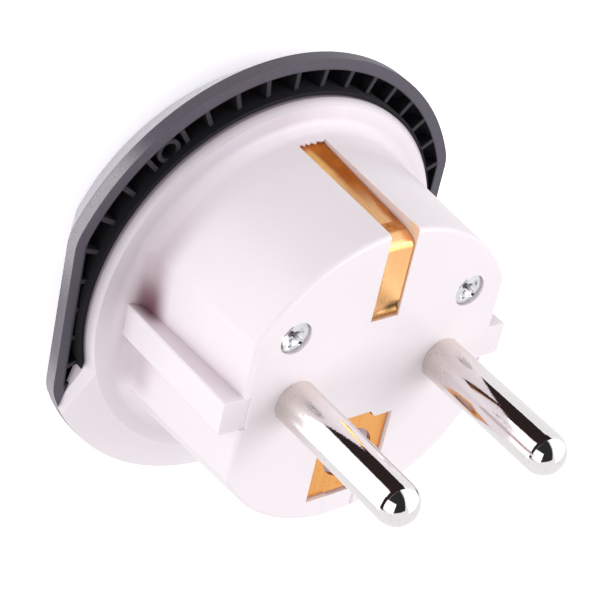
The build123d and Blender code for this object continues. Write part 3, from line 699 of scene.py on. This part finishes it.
def slot_mask(along, beside):
    """1 in a slot whose sides draw in away from the middle, with eased walls, and 0 outside."""
    half = SLOT_HALF - SLOT_NARROWING * np.abs(along)
    width = np.clip((half - np.abs(beside)) / SLOT_EASE + 0.5, 0.0, 1.0)
    reach = np.clip((SLOT_REACH - np.abs(along)) / SLOT_END_EASE + 0.5, 0.0, 1.0)
    return width * reach


def cross_screw(node):
    """Pan-head screw with a cross recess and a thread, one polar surface from crown to tip.

    Its place and the head's radius are those of the CAD screw, and its head stands SCREW_PROUD
    higher. Head: the crown falls with the square of the radius. The recess is the larger of two
    crossed slots with eased walls, deeper towards the middle, over a conical pit, and one of the
    slots goes on as a notch at each side of the head. Shank: the radius follows a triangle wave
    of height over pitch plus turn over a full circle.
    """
    cad_foot, cad_top = (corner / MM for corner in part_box(node))
    middle = (cad_foot + cad_top) / 2.0
    top = cad_top.z + SCREW_PROUD
    head_radius = cad_top.x - middle.x
    turn = np.linspace(0.0, 2.0 * np.pi, TURN_POINTS, endpoint=False)[None, :]
    radius = np.linspace(CROWN_HOLE, head_radius, CROWN_RINGS)[:, None]
    tilt = turn - np.radians(SCREW_TURN)
    u = radius * np.cos(tilt)
    v = radius * np.sin(tilt)
    deeper = SLOT_DEPTH + SLOT_DEPTH_GAIN * np.clip(1.0 - radius / SLOT_REACH, 0.0, 1.0)
    slots = np.maximum(slot_mask(u, v), slot_mask(v, u)) * deeper
    pit = PIT_DEPTH * np.clip(1.0 - radius / PIT_RADIUS, 0.0, 1.0) + 0.0 * turn
    notch = np.clip((np.abs(v) - NOTCH_START) / NOTCH_RUN, 0.0, 1.0)
    notch = notch * np.clip((NOTCH_HALF - np.abs(u)) / SLOT_EASE, 0.0, 1.0)
    cut = np.maximum(np.maximum(slots, pit), NOTCH_DEPTH * notch)
    crown = top - SCREW_CROWN * (radius / head_radius) ** 2 - cut
    head = np.stack(
        [middle.x + radius * np.cos(turn), middle.y + radius * np.sin(turn), crown], axis=-1
    )

    drop = np.concatenate([HEAD_DROPS, np.arange(THREAD_START, SCREW_END, THREAD_STEP)])[:, None]
    phase = drop / THREAD_PITCH + turn / (2.0 * np.pi)
    thread = SHANK_ROOT + THREAD_RISE * np.abs(2.0 * (phase - np.floor(phase + 0.5)))
    wide = np.where(drop < HEAD_FOOT, head_radius, thread)
    wide = np.where(drop > TIP_START, SHANK_TIP, wide)
    low = top - drop + 0.0 * turn
    shank = np.stack(
        [middle.x + wide * np.cos(turn), middle.y + wide * np.sin(turn), low], axis=-1
    )
    piece = closed_sweep("cross_" + node, np.concatenate([head, shank]), screw_metal)
    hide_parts(node)


cross_screw("case_screw_left")
cross_screw("case_screw_right")
upper_clip = worn_clip()
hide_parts("earth_clip_upper")
torn_lip()

# Camera
camera_data = bpy.data.cameras.new("camera")
camera_data.lens = CAMERA_LENS
camera_data.sensor_width = 36.0
camera_data.clip_start = 0.01
camera_data.clip_end = 10.0
camera = bpy.data.objects.new("camera", camera_data)
camera.location = CAMERA_PLACE
camera.rotation_mode = "QUATERNION"
camera.rotation_quaternion = CAMERA_TURN
bpy.context.scene.collection.objects.link(camera)
bpy.context.scene.camera = camera


# Floor: white to the camera and to reflections, with the object's shadow kept
FLOOR_HALF = 1.5
FLOOR_LIFT = 0.55
FLOOR_SHINE = 0.95
CARD_POINTS = 25


def floor_finish():
    """Pale matt floor, lifted to white where the camera, reflections or glass see it unshaded."""
    finish = Finish("floor")
    grain = finish.noise(40.0)
    camera_ray = finish.node("ShaderNodeLightPath", out="Is Camera Ray")
    glossy_ray = finish.node("ShaderNodeLightPath", out="Is Glossy Ray")
    glass_ray = finish.node("ShaderNodeLightPath", out="Is Transmission Ray")
    seen = (camera_ray + glass_ray).clamp() * FLOOR_LIFT + glossy_ray * FLOOR_SHINE
    lift = finish.mix(seen.clamp(), (0.0, 0.0, 0.0), (1.0, 1.0, 1.0))
    pale = finish.mix(grain, (0.93, 0.93, 0.93), (0.95, 0.95, 0.95))
    return finish.set(
        Base_Color=finish.mix(glossy_ray, pale, (0.0, 0.0, 0.0)),
        Roughness=0.9,
        Emission_Color=lift,
        Emission_Strength=1.0,
    )


def flat_sheet(name, corners, material):
    """Flat stage sheet through its corners, in metres."""
    mesh = bpy.data.meshes.new(name)
    mesh.from_pydata(corners, [], [tuple(range(len(corners)))])
    mesh.materials.append(material)
    sheet = bpy.data.objects.new(name, mesh)
    bpy.context.scene.collection.objects.link(sheet)
    return sheet


flat_sheet(
    "floor",
    [
        (-FLOOR_HALF, -FLOOR_HALF, 0.0),
        (FLOOR_HALF, -FLOOR_HALF, 0.0),
        (FLOOR_HALF, FLOOR_HALF, 0.0),
        (-FLOOR_HALF, FLOOR_HALF, 0.0),
    ],
    floor_finish(),
)


def card_finish(name, level, tint):
    """Even card, glowing at a level in a tint."""
    finish = Finish(name)
    return finish.set(
        Base_Color=(0.0, 0.0, 0.0, 1.0),
        Roughness=1.0,
        Specular_IOR_Level=0.0,
        Emission_Color=(*tint, 1.0),
        Emission_Strength=level,
    )


def studio_card(name, sector, span, height, material):
    """Flat ring sector about the Z axis that only reflections see.

    The sector is its first and last heading in degrees from +X, and the span its two radii.
    """
    turn = np.radians(np.linspace(*sector, CARD_POINTS))
    inner, outer = (
        np.stack([radius * np.cos(turn), radius * np.sin(turn)], axis=1) for radius in span
    )
    ring = np.concatenate([inner, outer[::-1]])
    corners = np.column_stack([ring, np.full(len(ring), height)])
    card = flat_sheet(name, corners.tolist(), material)
    for kind in ("camera", "diffuse", "transmission", "shadow", "volume_scatter"):
        setattr(card, "visible_" + kind, False)


black = card_finish("card_black", 0.03, (1.0, 0.62, 0.62))
bright = card_finish("card_bright", 1.7, (1.0, 1.0, 1.0))
studio_card("dark_card", (60.0, 124.0), (0.040, 1.40), 0.0006, black)
studio_card("dark_far_card", (124.0, 203.0), (0.130, 1.40), 0.0006, black)
studio_card("bright_card", (127.0, 216.0), (0.030, 0.129), 0.0008, bright)


# Light: a pale world and soft lamps
WORLD_LEVEL = 0.62
SOFTBOX_GLOW = 0.8
BAY_DARKNESS = 0.97
BAY_HEADING = 143.0
BAY_SECTOR = (0.48, 0.56)
BAY_FOOT = (-0.06, -0.02)
SOFTBOX_HEADING = 35.0
SOFTBOX_SECTOR = (0.72, 0.78)
SOFTBOX_FOOT = (-0.12, -0.06)
SOFTBOX_TOP = (0.92, 0.86)
LAMP_TARGET = (0.0, 0.0, 0.02)


def studio_world():
    """Even pale light, seen white, with a dark bay and a softbox that only reflections see.

    The bay and the softbox are sectors of direction: the cosine between a ray's heading on the
    floor plane and the sector's middle, times a range of its rise.
    """
    world = bpy.data.worlds.new("world")
    world.use_nodes = True
    tree = world.node_tree
    background = tree.nodes["Background"]
    background.inputs[0].default_value = (1.0, 1.0, 1.0, 1.0)
    split = tree.nodes.new("ShaderNodeSeparateXYZ")
    tree.links.new(tree.nodes.new("ShaderNodeTexCoord").outputs["Generated"], split.inputs[0])
    x, y, z = (Sock(tree, socket) for socket in split.outputs)
    level = (x * x + y * y).power(0.5).most(0.001)

    def heading(angle):
        turn = np.radians(angle)
        return (x * float(np.cos(turn)) + y * float(np.sin(turn))) / level

    bay = heading(BAY_HEADING).step(*BAY_SECTOR) * z.step(*BAY_FOOT)
    softbox = heading(SOFTBOX_HEADING).step(*SOFTBOX_SECTOR)
    softbox = softbox * z.step(*SOFTBOX_FOOT) * z.step(*SOFTBOX_TOP)
    paths = tree.nodes.new("ShaderNodeLightPath")
    glossy = Sock(tree, paths.outputs["Is Glossy Ray"])
    camera_ray = Sock(tree, paths.outputs["Is Camera Ray"])
    glass = Sock(tree, paths.outputs["Is Transmission Ray"])
    mirrored = 1.0 - bay * BAY_DARKNESS + softbox * SOFTBOX_GLOW
    seen = (camera_ray + glass).clamp() + glossy * mirrored
    plain = 1.0 - (camera_ray + glass + glossy).clamp()
    feed(tree, background.inputs[1], seen + plain * WORLD_LEVEL)
    return world


bpy.context.scene.world = studio_world()


def soft_lamp(name, place, size, power):
    """Square area lamp at a place, turned to the object."""
    data = bpy.data.lights.new(name, "AREA")
    data.shape = "SQUARE"
    data.size = size
    data.energy = power
    lamp = bpy.data.objects.new(name, data)
    lamp.location = place
    lamp.rotation_mode = "QUATERNION"
    lamp.rotation_quaternion = (Vector(LAMP_TARGET) - Vector(place)).to_track_quat("-Z", "Y")
    bpy.context.scene.collection.objects.link(lamp)


soft_lamp("key_lamp", (0.35, 0.10, 0.55), 0.45, 1.95)
soft_lamp("fill_lamp", (-0.50, 0.05, 0.20), 0.5, 1.15)

view = bpy.context.scene.view_settings
view.view_transform = "Standard"
